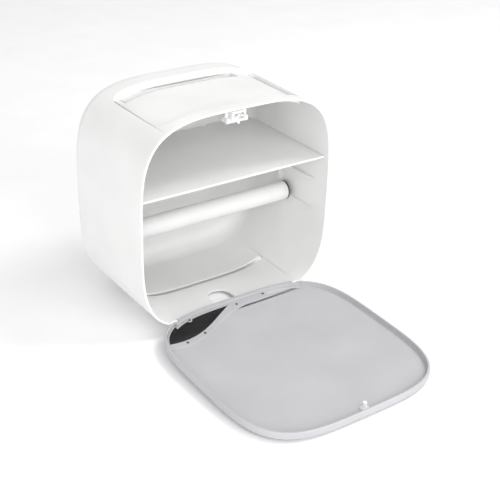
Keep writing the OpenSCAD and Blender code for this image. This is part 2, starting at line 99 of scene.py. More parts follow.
TRAY = (-77.5, 77.5, 13.5, 102.5)
TRAY_R = 11.0
TRAY_DEEP = 3.5
PHONE = (-70.0, 54.0, 85.5, 99.5)
PHONE_FLOOR = HEIGHT - 17.0
SHELF_TOP = 139.5
ROLL_Y, ROLL_Z, ROLL_R = 62.4, 82.7, 9.8
RIB_X = 99.0


# ---------------------------------------------------------------------------------------------
# The squircle outline
# ---------------------------------------------------------------------------------------------
def bulge(c):
    return math.copysign(abs(c) ** (2 / POWER), c)


def outline(inset, steps=OUTLINE_STEPS):
    """Points (x, z) of the case's outline drawn in by inset, anticlockwise from the right."""
    found = []
    for i in range(steps):
        t = 2 * math.pi * (i + 0.5) / steps
        found.append(((HALF_W - inset) * bulge(math.cos(t)), MID + (MID - inset) * bulge(math.sin(t))))
    return found


LINES = sorted({round(x, 5) for x, _ in outline(0)})


def low_z(x, inset):
    """Height of the outline's lower half at x."""
    return MID - (MID - inset) * (1 - min(1.0, abs(x) / (HALF_W - inset)) ** POWER) ** (1 / POWER)


def top_z(x, inset):
    return 2 * MID - low_z(x, inset)


# ---------------------------------------------------------------------------------------------
# Mesh work
# ---------------------------------------------------------------------------------------------
def piece(name, bm):
    """A mesh object from a bmesh in the row frame."""
    bmesh.ops.recalc_face_normals(bm, faces=bm.faces)
    mesh = bpy.data.meshes.new(name)
    bm.to_mesh(mesh)
    bm.free()
    obj = bpy.data.objects.new(name, mesh)
    bpy.context.scene.collection.objects.link(obj)
    return obj


def loft(rings, closed=False):
    """A skin through rings of points in mm: capped at both ends, or joined end to end."""
    bm = bmesh.new()
    rows = [[bm.verts.new(at(*p)) for p in ring] for ring in rings]
    n = len(rows[0])
    pairs = list(zip(rows, rows[1:])) + ([(rows[-1], rows[0])] if closed else [])
    for a, b in pairs:
        for i in range(n):
            bm.faces.new((a[i], a[(i + 1) % n], b[(i + 1) % n], b[i]))
    if not closed:
        bm.faces.new(rows[0][::-1])
        bm.faces.new(rows[-1])
    return bm


def prism(points, low, high, axis):
    """A flat outline of (a, b) points raised from low to high along axis 'y' or 'z'."""
    def lift(p, h):
        return at(p[0], h, p[1]) if axis == "y" else at(p[0], p[1], h)
    bm = bmesh.new()
    a = [bm.verts.new(lift(p, low)) for p in points]
    b = [bm.verts.new(lift(p, high)) for p in points]
    n = len(points)
    for i in range(n):
        bm.faces.new((a[i], a[(i + 1) % n], b[(i + 1) % n], b[i]))
    bm.faces.new(a[::-1])
    bm.faces.new(b)
    bmesh.ops.recalc_face_normals(bm, faces=bm.faces)
    return bm


def block(x0, x1, y0, y1, z0, z1):
    return prism([(x0, y0), (x1, y0), (x1, y1), (x0, y1)], z0, z1, "z")


def turned(profile, centre, direction, steps=96):
    """A solid turned about an axis: profile is (along, radius) in mm, from end to end."""
    d = Vector(direction).normalized()
    u = d.orthogonal().normalized()
    v = d.cross(u)
    rings = []
    for along, radius in profile:
        rings.append([])
        for i in range(steps):
            t = 2 * math.pi * i / steps
            p = Vector(centre) + d * along + (u * math.cos(t) + v * math.sin(t)) * radius
            rings[-1].append(tuple(p))
    return rings


def rounded(x0, x1, y0, y1, r, lines=LINES, grow=0.0):
    """A round-cornered rectangle whose corner points lie on the outline's own lines where they cross."""
    x0, x1, y0, y1, r = x0 - grow, x1 + grow, y0 - grow, y1 + grow, r + grow
    found = []
    corners = ((x1 - r, y1 - r, 0), (x0 + r, y1 - r, 90), (x0 + r, y0 + r, 180), (x1 - r, y0 + r, 270))
    for cx, cy, start in corners:
        angles = {float(start), float(start + 90)}
        for line in lines:
            if abs(line - cx) < r - 1e-4:
                crossing = math.degrees(math.acos((line - cx) / r))
                for a in (crossing, -crossing):
                    if start + 2 < a % 360 < start + 88:
                        angles.add(a % 360)
        k = max(6, int(r * 1.5))
        for i in range(1, k):
            a = start + 90 * i / k
            if all(abs(a - b) > 45 / k for b in angles):
                angles.add(a)
        turns = [math.radians(a) for a in sorted(angles)]
        found += [(cx + r * math.cos(t), cy + r * math.sin(t)) for t in turns]
    return found


def cut(obj, other, how="DIFFERENCE"):
    """Cuts, joins or intersects obj with other, a bmesh or an object, and removes the other."""
    tool = piece("tool", other) if isinstance(other, bmesh.types.BMesh) else other
    m = obj.modifiers.new("cut", "BOOLEAN")
    m.operation, m.solver, m.object = how, "MANIFOLD", tool
    settle(obj)
    bpy.data.objects.remove(tool)


def settle(obj):
    """Applies every modifier on obj."""
    dg = bpy.context.evaluated_depsgraph_get()
    mesh = bpy.data.meshes.new_from_object(obj.evaluated_get(dg))
    old = obj.data
    obj.modifiers.clear()
    obj.data = mesh
    mesh.name = obj.name
    bpy.data.meshes.remove(old)


def join(obj, other):
    """Adds another object's mesh to obj as it is, and removes the other."""
    bm = bmesh.new()
    bm.from_mesh(obj.data)
    bm.from_mesh(other.data)
    bpy.data.objects.remove(other)
    bm.to_mesh(obj.data)
    bm.free()


def edges_where(bm, test, least=30):
    """Sharp edges both of whose ends pass test, which gets x, y and z in mm."""
    found = []
    for e in bm.edges:
        if len(e.link_faces) != 2 or e.calc_face_angle(0) < math.radians(least):
            continue
        ends = [((v.co.x / MM), (v.co.y - MOUTH) / MM, (v.co.z - UNDERSIDE) / MM) for v in e.verts]
        if all(test(*p) for p in ends):
            found.append(e)
    return found


def soften(obj, radius, test, segments=3):
    """Rounds an object's sharp edges that pass test, by radius in mm."""
    bm = bmesh.new()
    bm.from_mesh(obj.data)
    bmesh.ops.remove_doubles(bm, verts=bm.verts, dist=0.03 * MM)
    bmesh.ops.dissolve_degenerate(bm, edges=bm.edges, dist=0.005 * MM)
    found = edges_where(bm, test)
    if found:
        bmesh.ops.bevel(bm, geom=found, offset=radius * MM, offset_type="OFFSET", segments=segments,
                        profile=0.5, affect="EDGES", clamp_overlap=False, loop_slide=True)
    bm.to_mesh(obj.data)
    bm.free()


def soften_bm(bm, radius, test, segments=3):
    """The same for a bmesh that isn't an object yet."""
    found = edges_where(bm, test)
    bmesh.ops.bevel(bm, geom=found, offset=radius * MM, offset_type="OFFSET", segments=segments,
                    profile=0.5, affect="EDGES", clamp_overlap=False, loop_slide=True)
    return bm


def smooth(obj, angle=35):
    """Smooth shading between faces that meet at less than angle, weighted by their area."""
    mesh = obj.data
    for p in mesh.polygons:
        p.use_smooth = True
    mesh.set_sharp_from_angle(angle=math.radians(angle))
    w = obj.modifiers.new("normals", "WEIGHTED_NORMAL")
    w.keep_sharp = True
    w.weight = 50
    settle(obj)
    return obj


# ---------------------------------------------------------------------------------------------
# The case: one moulding
# ---------------------------------------------------------------------------------------------
ROOTED = HALF_W - 1.0          # what stands on a side wall starts inside it
RIB_FRONT, RIB_FULL, RIB_BACK = 14.0, 26.0, 76.0
RIB_T = 2.0
UPPER_RIB_Z = 111.0
LOWER_RIB_Z = ROLL_Z - 3.3
REAR_RIB_T = 3.0
STOP = (ROLL_Y + 3.3, 75.0, ROLL_Z - 5.2, ROLL_Z + 2.7)
RAIL = (100.0, 28.0, 104.0, 135.1, 137.45)

HINGE_AT = (0, *HINGE)
ALONG_X, ALONG_Y = (1, 0, 0), (0, 1, 0)
LUG_R, LUG_LEN = 2.6, 9.0
SWING_R, SWING_OPEN_Z = 8.0, 4.6

PLATE_Z = 107.0
PANEL = (100.0, 62.0, 8.0)     # width, height and corner radius of the raised panel in the back
SEAT = (96.0, 58.0, 6.0)       # and of the seat behind it that takes the wall plate
PANEL_Y, SEAT_Y = 132.0, 134.0
HOOK_X, HOOK_HALF = 27.0, 6.5
HOOK_LOW, HOOK_TOP = 109.5, 118.0

PAPER_HALF, PAPER_FRONT, PAPER_BACK = 74.0, 61.5, 67.5
NOTCH_HALF, NOTCH_END = 12.25, 43.5
NOTCH_FLARE, FLARE_END = 7.0, 28.0

# the mouth's rim as (inset, depth): rounded on the outside, then a lead-in to the inner wall
RIM_PROFILE = ((0, 1.3), (0.05, 0.75), (0.18, 0.32), (0.42, 0.07), (0.75, 0.0),
               (1.25, 0.0), (1.55, 0.1), (1.78, 0.36), (1.94, 0.8), (2.0, 1.4))


def ring(inset, y):
    return [(x, y, z) for x, z in outline(inset)]


def arc(k):
    return [math.radians(90 * i / k) for i in range(k + 1)]


def case_body():
    """Back, outer wall, rim, inner wall and the inside of the back, as one skin."""
    r_in = BACK_R - WALL
    corner = DEPTH - BACK_R
    rings = [ring(BACK_R * (1 - math.cos(a)), corner + BACK_R * math.sin(a)) for a in arc(10)[::-1]]
    rings += [ring(*p) for p in RIM_PROFILE]
    rings += [ring(WALL + r_in * (1 - math.cos(a)), corner + r_in * math.sin(a)) for a in arc(10)]
    return piece("case_shell_moulding", loft(rings))


def basin(box, r, floor, fillet):
    """A tool that hollows a round-cornered basin with a floor that follows floor(x)."""
    x0, x1, y0, y1 = box
    loop = rounded(x0, x1, y0, y1, r)
    back = {round(p[0], 5) for p in loop if p[1] > y1 - r - 1e-6}
    xs = sorted(back | {l for l in LINES if x0 + r + 0.4 < l < x1 - r - 0.4})
    front_pts, back_pts = [], []
    for x in xs:
        over = max(0.0, x0 + r - x, x - (x1 - r))
        dy = r - math.sqrt(max(0.0, r * r - over * over))
        side = math.copysign(1, x - (x0 + x1) / 2)
        n = Vector((side * over / r, -(r - dy) / r)) if over > 0 else Vector((0, -1))
        front_pts.append((Vector((x, y0 + dy)), n))
        back_pts.append((Vector((x, y1 - dy)), Vector((n.x, -n.y))))
    ring_pts = front_pts + back_pts[::-1]
    bm = bmesh.new()
    rows = []
    stages = [(0.0, None)] + [(fillet * (1 - math.cos(a)), fillet * (1 - math.sin(a))) for a in arc(4)]
    for inset, rise in stages:
        row = []
        for p, n in ring_pts:
            q = p - n * inset
            row.append(bm.verts.new(at(q.x, q.y, HEIGHT + 4 if rise is None else floor(q.x) + rise)))
        rows.append(row)
    count, m = len(ring_pts), len(xs)
    for a, b in zip(rows, rows[1:]):
        for i in range(count):
            bm.faces.new((a[i], a[(i + 1) % count], b[(i + 1) % count], b[i]))
    for row in (rows[0], rows[-1]):
        for i in range(m - 1):
            bm.faces.new((row[i], row[i + 1], row[count - 2 - i], row[count - 1 - i]))
    bmesh.ops.recalc_face_normals(bm, faces=bm.faces)
    return bm


def solid_outline(inset, y0, y1):
    return loft([ring(inset, y0), ring(inset, y1)])


def rod(profile, centre, direction, steps):
    """A turned solid as a bmesh."""
    return loft(turned(profile, centre, direction, steps))


def notch_outline():
    """The finger notch: flared at the mouth, with a round inner end."""
    centre = NOTCH_END - NOTCH_HALF
    left = [(-NOTCH_HALF - NOTCH_FLARE * ((FLARE_END - y) / FLARE_END) ** 2, y)
            for y in (-2, 2, 5, 8, 11, 14, 17, 20, 23, 26)]
    bend = [(NOTCH_HALF * math.cos(math.radians(a)), centre + NOTCH_HALF * math.sin(math.radians(a)))
            for a in range(0, 181, 6)]
    return [(-x, y) for x, y in left] + bend + left[::-1]


def side_block(x0, y0, y1, z0, z1, radius=0.45):
    """A block that stands on the right wall, with its free edges rounded."""
    return soften_bm(block(x0, ROOTED, y0, y1, z0, z1), radius, lambda x, y, z: x < HALF_W - 2)


def rib(z_top):
    """A guide rib, which grows out of the wall towards the back."""
    plan = [(ROOTED, RIB_FRONT), (RIB_X, RIB_FULL), (RIB_X, RIB_BACK), (ROOTED, RIB_BACK)]
    return soften_bm(prism(plan, z_top - RIB_T, z_top, "z"), 0.45, lambda x, y, z: x < HALF_W - 0.5)


def mirrored(bm):
    for v in bm.verts:
        v.co.x = -v.co.x
    bmesh.ops.reverse_faces(bm, faces=bm.faces)
    return bm


def back_plate(w, h, r, y0, y1):
    loop = rounded(-w / 2, w / 2, PLATE_Z - h / 2, PLATE_Z + h / 2, r, lines=[])
    return prism(loop, y0, y1, "y")


def make_swing_room(case):
    """The room that the door's hinge end swings in, which leaves a skin on the outside."""
    whole = [(-LUG_X, SWING_R), (LUG_X, SWING_R)]
    bounds = (solid_outline(1.0, -3, 16), block(-LUG_X - 1, LUG_X + 1, -6, 14, SWING_OPEN_Z, 20))
    for limit in bounds:
        swing = piece("swing", rod(whole, HINGE_AT, ALONG_X, 72))
        cut(swing, limit, "INTERSECT")
        cut(case, swing)


def make_top_walls(case):
    """The wall under the tray and round the phone slot."""
    under = piece("under", prism(rounded(*TRAY, TRAY_R, grow=WALL), 150, HEIGHT + 3, "z"))
    cut(under, solid_outline(0.6, -3, DEPTH + 3), "INTERSECT")
    cut(under, solid_outline(TRAY_DEEP + WALL, -5, DEPTH + 5))
    cut(case, under, "UNION")
    x0, x1, y0, y1 = PHONE
    trough = rounded(x0 - WALL, x1 + WALL, y0 - WALL, y1 + WALL, 3.5)
    cut(case, prism(trough, PHONE_FLOOR - WALL, 204, "z"), "UNION")


def make_side_fittings(case):
    """Guide ribs, shelf rails and hinge lugs on both side walls."""
    for flip in (False, True):
        parts = [rib(LOWER_RIB_Z), rib(UPPER_RIB_Z),
                 side_block(RIB_X, RIB_BACK - REAR_RIB_T, RIB_BACK, LOWER_RIB_Z - RIB_T, UPPER_RIB_Z),
                 side_block(RIB_X, *STOP), side_block(*RAIL, radius=0.4)]
        for p in parts:
            cut(case, mirrored(p) if flip else p, "UNION")
        nose = [(LUG_X, LUG_R - 0.4), (LUG_X + 0.4, LUG_R), (LUG_X + LUG_LEN, LUG_R)]
        lug = piece("lug", rod(nose, HINGE_AT, ALONG_X, 48))
        cut(lug, solid_outline(0.4, -1, 12), "INTERSECT")
        if flip:
            lug.data.transform(Matrix.Scale(-1, 4, (1, 0, 0)))
            lug.data.flip_normals()
        cut(case, lug, "UNION")


def make_back(case):
    """The panel behind which the wall plate lies, its seat and its hook slots."""
    panel = soften_bm(back_plate(*PANEL, PANEL_Y, DEPTH - 0.8), 0.8, lambda x, y, z: y < PANEL_Y + 1)
    cut(case, panel, "UNION")
    cut(case, back_plate(*SEAT, SEAT_Y, DEPTH + 2))
    for s in (-1, 1):
        middle = s * HOOK_X
        cut(case, block(middle - HOOK_HALF, middle + HOOK_HALF, PANEL_Y - 1, SEAT_Y + 1, HOOK_LOW, HOOK_TOP))


def make_openings(case):
    """Tray, phone slot, paper slot and finger notch, then the rounding of their edges."""
    cut(case, basin(TRAY, TRAY_R, lambda x: top_z(x, TRAY_DEEP), 0.9))
    cut(case, basin(PHONE, 2.0, lambda x: PHONE_FLOOR, 0.7))
    cut(case, prism(rounded(-PAPER_HALF, PAPER_HALF, PAPER_FRONT, PAPER_BACK, 2.99), -3, 14, "z"))
    cut(case, prism(notch_outline(), -3, 5, "z"))
    x0, x1, y0, y1 = PHONE
    soften(case, 0.55, lambda x, y, z: 12 < y < 104.5 and abs(x) < 79 and z > top_z(x, 0.6))
    soften(case, 0.5, lambda x, y, z: y0 - 0.7 < y < y1 + 0.7 and x0 - 0.8 < x < x1 + 0.8
           and top_z(x, 4.0) < z < top_z(x, 3.0))
    soften(case, 0.35, lambda x, y, z: 61 < y < 68 and abs(x) < PAPER_HALF + 0.6 and z < low_z(x, 3.0))
    soften(case, 0.35, lambda x, y, z: abs(x) < 21 and 1.0 < y < 44 and z < 4)


def belongs(obj, body, nodes, slot_name):
    """The piece's body, the solids it stands for and the finish it takes."""
    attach(obj, body)
    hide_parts(*nodes)
    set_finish(obj, slot_name)
    return obj


case = case_body()
make_swing_room(case)
make_top_walls(case)
make_side_fittings(case)
make_back(case)
make_openings(case)
belongs(smooth(case), "case", ["case_shell"], "white_plastic")


# ---------------------------------------------------------------------------------------------
# The door, drawn shut and then turned open
# ---------------------------------------------------------------------------------------------
OPEN_ANGLE = 91.4932
OPEN = (Matrix.Translation(at(*HINGE_AT)) @ Matrix.Rotation(math.radians(OPEN_ANGLE), 4, "X")
        @ Matrix.Translation(-at(*HINGE_AT)))

SEAM = (-80, 12, 47.5, 15.5)   # a falling curve: x of its peak and foot, then z at its peak and foot
LEAF = (-78, 24, 41.5, 1.3)
SEAM_END = 34.0                # where the window's frame stops
FRAME_GAP = 0.2
FRAME_T, FRAME_REACH, FRAME_REBATE = 2.0, 1.5, 1.3
LENS_STEP, LENS_GAP, LENS_FLANGE = 1.2, 0.2, 1.1
SCREW_R, SCREW_CLEAR = 0.9, 1.1
BOSS_FROM, BOSS_TO, BOSS_R, PIN_BORE_R = 60.6, 66.7, 3.0, 1.58
SCALLOP_FROM, SCALLOP_TO, SCALLOP_R = 66.9, 81.1, 4.8

# the door's edge as (inset, depth), from its outer face to the top of its rim
DOOR_PROFILE = ((3.6, FACE_Y), (3.25, -0.76), (2.95, -0.62), (2.7, -0.42), (2.52, -0.12), (2.42, 0.25),
                (2.42, 4.7), (2.55, 5.2), (2.8, 5.62), (3.12, 5.9), (3.5, RIM_Y))


def fall(x, x_peak, x_foot, peak, base):
    """A smooth step from peak down to base."""
    if x >= x_foot:
        return base
    return base + (peak - base) * (1 - math.cos(math.pi * (x_foot - x) / (x_foot - x_peak))) / 2


def seam_z(x):
    return fall(x, *SEAM)


def window_z(x):
    return fall(x, *LEAF)


def bar_z(x):
    """The inner edge of the bar along the hinge side."""
    return low_z(x, DOOR_GAP + BAR)


def floor_z(x, margin):
    """The lower edge of the inside of the rim: the bar between its ends, the rim beyond them."""
    edge = BAR if abs(x) < BAR_HALF + margin else RIM
    return low_z(x, DOOR_GAP + edge + margin)


def seam_screw_z(x):
    """Half way between the window and the seam."""
    return (max(window_z(x) - FRAME_REACH, bar_z(x)) + seam_z(x)) / 2


BAR_SCREWS = [(x, bar_z(x) + 1.9) for x in (-56, 31)]
SEAM_SCREWS = [(x, seam_screw_z(x)) for x in (-77, -55, -2)]
FRAME_SCREWS = BAR_SCREWS + SEAM_SCREWS


def between(low, high, x0, x1, step):
    """The outline between two curves over x, from where they part at x0 to where they meet."""
    n = int((x1 - x0) / step)
    xs = [x0 + (x1 - x0) * i / n for i in range(n + 1)]
    keep = [x for x in xs if high(x) - low(x) > 0.02]
    return [(x, low(x)) for x in keep] + [(x, high(x)) for x in reversed(keep)]


def left_reach(inset, high):
    """The x at which a falling curve meets the left side of the outline drawn in by inset."""
    x = -(HALF_W - inset) + 0.01
    while low_z(x, inset) > high(x):
        x += 0.05
    return x


def pan_outline():
    """The inside of the rim, less the bar along the hinge side."""
    inset = DOOR_GAP + RIM
    points = [(x, z) for x, z in outline(inset, 400) if z >= MID or abs(x) >= BAR_HALF]
    left = [p for p in points if p[1] < MID and p[0] < 0]
    cut_at = points.index(left[-1]) + 1
    inner = [-BAR_HALF + 2 * BAR_HALF * i / 72 for i in range(1, 72)]
    low = [(-BAR_HALF, low_z(BAR_HALF, inset)), (-BAR_HALF, bar_z(BAR_HALF))]
    low += [(x, bar_z(x)) for x in inner]
    low += [(BAR_HALF, bar_z(BAR_HALF)), (BAR_HALF, low_z(BAR_HALF, inset))]
    return points[:cut_at] + low + points[cut_at:]


def window_outline(margin):
    """The leaf: the rim and the bar below it, the falling curve above, and clear of the bar's screws."""
    def high(x):
        return window_z(x) - margin
    start = left_reach(DOOR_GAP + RIM + margin, high)
    reach = SCREW_CLEAR + margin
    x = start
    lows = []
    while x < 40:
        z = floor_z(x, margin)
        for cx, cz in BAR_SCREWS:
            if abs(x - cx) < reach:
                z = max(z, cz + math.sqrt(reach * reach - (x - cx) ** 2))
        if z < high(x) - 0.02:
            lows.append((x, z))
        elif lows and x > start + 5:
            break
        x += 0.5
    return lows + [(p[0], high(p[0])) for p in reversed(lows)]


def screw_holes(obj, low, high):
    for x, z in FRAME_SCREWS:
        cut(obj, rod([(low, SCREW_R), (high, SCREW_R)], (x, 0, z), ALONG_Y, 24))


def door_part(obj, node, slot_name, angle):
    """Smooths a piece of the shut door, turns it open and gives it to the door."""
    smooth(obj, angle)
    obj.data.transform(OPEN)
    return belongs(obj, "door", [node], slot_name)


def make_door():
    """Skin, rim and bar, with the hinge's bosses and scallops and the window's opening."""
    door = piece("door_moulding", loft([ring(inset, y) for inset, y in DOOR_PROFILE]))
    pan = prism(pan_outline(), FLOOR_Y, RIM_Y + 2, "y")
    cut(door, soften_bm(pan, 0.8, lambda x, y, z: y < FLOOR_Y + 0.01, segments=4))
    for s in (-1, 1):
        boss = [(s * BOSS_FROM, BOSS_R - 0.2), (s * (BOSS_FROM + 0.2), BOSS_R),
                (s * (BOSS_TO - 0.2), BOSS_R), (s * BOSS_TO, BOSS_R - 0.2)]
        cut(door, rod(boss, HINGE_AT, ALONG_X, 48), "UNION")
        cut(door, rod([(s * 60, PIN_BORE_R), (s * 67.2, PIN_BORE_R)], HINGE_AT, ALONG_X, 32))
        cut(door, rod([(s * SCALLOP_FROM, SCALLOP_R), (s * SCALLOP_TO, SCALLOP_R)], HINGE_AT, ALONG_X, 72))
    cut(door, prism(window_outline(LENS_STEP), FACE_Y - 1, FLOOR_Y + 0.5, "y"))
    screw_holes(door, FLOOR_Y - 1.3, RIM_Y + 1)
    soften(door, 0.4, lambda x, y, z: y > RIM_Y - 0.03 and not (abs(z - low_z(x, 3.5)) < 0.2 and z < MID), 3)
    door_part(door, "door_shell", "grey_plastic", 40)


def make_lens():
    """The smoked lens: a plug in the opening and a flange on the skin."""
    plug = prism(window_outline(LENS_STEP + LENS_GAP), FACE_Y + 0.2, FLOOR_Y + 0.3, "y")
    lens = piece("window_lens_moulding", soften_bm(plug, 0.25, lambda x, y, z: y < FACE_Y + 0.25))
    flange = prism(window_outline(LENS_GAP), FLOOR_Y, FLOOR_Y + LENS_FLANGE, "y")
    cut(lens, soften_bm(flange, 0.15, lambda x, y, z: y > FLOOR_Y + 1), "UNION")
    door_part(lens, "window_lens", "smoked_plastic", 40)


def make_window_frame():
    """The frame over the lens, from the seam down to the rim and the bar."""
    start = left_reach(DOOR_GAP + RIM + FRAME_GAP, seam_z)
    plan = between(lambda x: floor_z(x, FRAME_GAP), seam_z, start, SEAM_END, 0.5)
    blank = prism(plan, FLOOR_Y, FLOOR_Y + FRAME_T, "y")
    holder = piece("window_retainer_moulding", soften_bm(blank, 0.3, lambda x, y, z: y > FLOOR_Y + 1.9))
    cut(holder, prism(window_outline(0.0), FLOOR_Y - 1, FLOOR_Y + FRAME_REBATE, "y"))
    cut(holder, prism(window_outline(FRAME_REACH), FLOOR_Y - 1, FLOOR_Y + 4, "y"))
    screw_holes(holder, FLOOR_Y - 1, FLOOR_Y + 3)
    door_part(holder, "window_retainer", "grey_plastic", 40)


def frame_screw(x, z):
    """One pan-head screw with a cross recess."""
    top = FLOOR_Y + 2.6
    shank = [(FLOOR_Y - 1.4, 0.5), (FLOOR_Y - 1.0, 0.88), (FLOOR_Y + 1.99, 0.88)]
    head = [(FLOOR_Y + 2.0, 1.14), (FLOOR_Y + 2.1, 1.2), (FLOOR_Y + 2.3, 1.16),
            (top - 0.14, 0.98), (top - 0.03, 0.62), (top, 0.3)]
    screw = piece("one_screw", rod(shank + head, (x, 0, z), ALONG_Y, 32))
    for turn in (25, 115):
        arm = piece("cross", block(-0.7, 0.7, -0.13, 0.13, 0, 0.6))
        facing = Matrix.Rotation(math.radians(turn), 4, "Y") @ Matrix.Rotation(math.radians(-90), 4, "X")
        place = Matrix.Translation(at(x, top - 0.38, z)) @ facing @ Matrix.Translation(-at(0, 0, 0))
        arm.data.transform(place)
        cut(screw, arm)
    return screw


def make_screws():
    screws = frame_screw(*FRAME_SCREWS[0])
    for x, z in FRAME_SCREWS[1:]:
        join(screws, frame_screw(x, z))
    screws.name = "frame_screws"
    door_part(screws, "retainer_screws", "dark_screws", 30)


# the latch's line, which the striker stands on when the door is shut
LATCH_X, LATCH_Z = 1.0, HEIGHT - 10.5


def make_striker():
    """The post that the latch's jaws hold: a foot, a thin neck and a round head."""
    foot = block(LATCH_X - 4, LATCH_X + 4, FLOOR_Y, FLOOR_Y + 0.8, LATCH_Z - 2.6, LATCH_Z + 2.6)
    striker = piece("striker_post", soften_bm(foot, 0.2, lambda x, y, z: y > FLOOR_Y + 0.5))
    neck = [(FLOOR_Y + 0.4, 1.5), (FLOOR_Y + 0.95, 1.35), (FLOOR_Y + 1.2, 1.08),
            (FLOOR_Y + 1.5, 1.0), (6.2, 1.0)]
    head = [(6.5, 1.35), (6.52, 1.8), (6.62, 1.9), (7.5, 1.9), (7.66, 1.8), (7.7, 1.6)]
    cut(striker, rod(neck + head, (LATCH_X, 0, LATCH_Z), ALONG_Y, 48), "UNION")
    door_part(striker, "door_striker", "white_plastic", 35)


make_door()
make_lens()
make_window_frame()
make_screws()
make_striker()


# ---------------------------------------------------------------------------------------------
# Shelf
# ---------------------------------------------------------------------------------------------
SHELF_T, SHELF_FRONT, SHELF_GAP = 2.0, 7.0, 0.3
PANEL_HALF, PANEL_FACE = 50.3, 131.7   # the shelf's notch, which clears the panel in the back


def inner_half(z, y):
    """Half the clear width inside the case at height z and depth y."""
    d = max(0.0, y - (DEPTH - BACK_R))
    r = BACK_R - WALL
    inset = WALL + r - math.sqrt(max(0.0, r * r - d * d)) + SHELF_GAP
    k = 1 - (abs(z - MID) / (MID - inset)) ** POWER
    return (HALF_W - inset) * k ** (1 / POWER)


def make_shelf():
    corner = DEPTH - BACK_R
    ys = [SHELF_FRONT + (corner - SHELF_FRONT) * i / 12 for i in range(13)]
    ys += [corner + 17.7 * math.sin(math.radians(90 * i / 10)) for i in range(1, 11)]
    side = [(inner_half(SHELF_TOP - SHELF_T / 2, y), y) for y in ys if y < 135.6]
    rear = side[-1][1]
    plan = side + [(PANEL_HALF, rear), (PANEL_HALF, PANEL_FACE)]
    plan += [(-x, y) for x, y in reversed(plan)]
    shelf = piece("shelf_moulding", prism(plan, SHELF_TOP - SHELF_T, SHELF_TOP, "z"))
    soften(shelf, 0.45, lambda x, y, z: y < SHELF_FRONT + 0.01, 3)
    soften(shelf, 0.25, lambda x, y, z: z > SHELF_TOP - 0.01 and y > 20, 2)
    belongs(smooth(shelf), "case", ["storage_shelf"], "white_plastic")


make_shelf()


# ---------------------------------------------------------------------------------------------
# Roller
# ---------------------------------------------------------------------------------------------
ROLL_AT = (0, ROLL_Y, ROLL_Z)
TUBE_END, CAP_END, RING_END, PLUG_END = 94.5, 97.0, 98.5, 80.5
TUBE_BORE_R, AXLE_BORE_R, AXLE_R, AXLE_END = 8.2, 3.06, 3.0, 102.2
PIN_R, PIN_FROM, PIN_TO = 1.5, 61.7, 72.7


def turned_piece(name, profile, body, node, slot_name, hollow=None, steps=128, centre=ROLL_AT):
    """A turned part; hollow is a second profile for a bore, joined end to end with the outside."""
    rings = turned(profile + (hollow or [])[::-1], centre, ALONG_X, steps)
    obj = piece(name, loft(rings, closed=hollow is not None))
    return belongs(smooth(obj), body, [node], slot_name)


def both_ends(half, middle):
    """A profile from one end to the other, given as its left end and the places between."""
    return half + middle + [(-a, r) for a, r in half[::-1]]


def make_roller():
    tube = both_ends([(-TUBE_END, ROLL_R - 0.25), (-TUBE_END + 0.1, ROLL_R - 0.1), (-TUBE_END + 0.3, ROLL_R)],
                     [(x, ROLL_R) for x in (-60, -20, 20, 60)])
    turned_piece("roller_tube_skin", tube, "roller", "roller_tube", "white_plastic",
                 [(-TUBE_END, TUBE_BORE_R), (TUBE_END, TUBE_BORE_R)])
    for s, side in ((-1, "left"), (1, "right")):
        plug = [(PLUG_END, 7.8), (PLUG_END + 0.4, TUBE_BORE_R), (TUBE_END, TUBE_BORE_R)]
        flange = [(94.51, ROLL_R - 0.3), (94.6, ROLL_R - 0.1), (94.8, ROLL_R),
                  (96.7, ROLL_R), (96.9, ROLL_R - 0.1), (CAP_END, ROLL_R - 0.3)]
        washer = [(CAP_END, ROLL_R - 0.5), (97.12, ROLL_R - 0.15), (97.4, ROLL_R),
                  (98.1, ROLL_R), (98.38, ROLL_R - 0.15), (RING_END, ROLL_R - 0.5)]
        pin = [(PIN_FROM, PIN_R - 0.3), (PIN_FROM + 0.3, PIN_R), (PIN_TO - 0.3, PIN_R), (PIN_TO, PIN_R - 0.3)]
        cap_bore = [(s * a, AXLE_BORE_R) for a in (PLUG_END, CAP_END)]
        ring_bore = [(s * a, AXLE_BORE_R) for a in (CAP_END, RING_END)]
        turned_piece("roller_cap_" + side + "_moulding", [(s * a, r) for a, r in plug + flange], "roller",
                     "roller_cap_" + side, "white_plastic", cap_bore)
        turned_piece("roller_ring_" + side + "_washer", [(s * a, r) for a, r in washer], "roller",
                     "roller_ring_" + side, "black_rubber", ring_bore)
        turned_piece("hinge_pin_" + side + "_rod", [(s * a, r) for a, r in pin], "case",
                     "hinge_pin_" + side, "steel", steps=48, centre=HINGE_AT)
    axle = both_ends([(-AXLE_END, 2.4), (-102.1, 2.7), (-101.8, 2.92), (-101.4, AXLE_R)],
                     [(x, AXLE_R) for x in (-60, 0, 60)])
    turned_piece("roller_axle_rod", axle, "axle", "roller_axle", "steel", steps=96)


make_roller()


# ---------------------------------------------------------------------------------------------
# Small parts that keep the solids' shape, with their edges broken
# ---------------------------------------------------------------------------------------------
def rounded_copy(node, name, radius, body, slot_name, segments=2):
    """A copy of a small solid's mesh with its sharp edges rounded."""
    bm = bmesh.new()
    bm.from_mesh(bpy.data.objects[node].data)
    bmesh.ops.remove_doubles(bm, verts=bm.verts, dist=0.004 * MM)
    bmesh.ops.dissolve_limit(bm, angle_limit=math.radians(1.0), verts=bm.verts, edges=bm.edges)
    found = edges_where(bm, lambda x, y, z: True, 32)
    bmesh.ops.bevel(bm, geom=found, offset=radius * MM, offset_type="OFFSET", segments=segments, profile=0.5,
                    affect="EDGES", clamp_overlap=True, loop_slide=True)
    return belongs(smooth(piece(name, bm)), body, [node], slot_name)


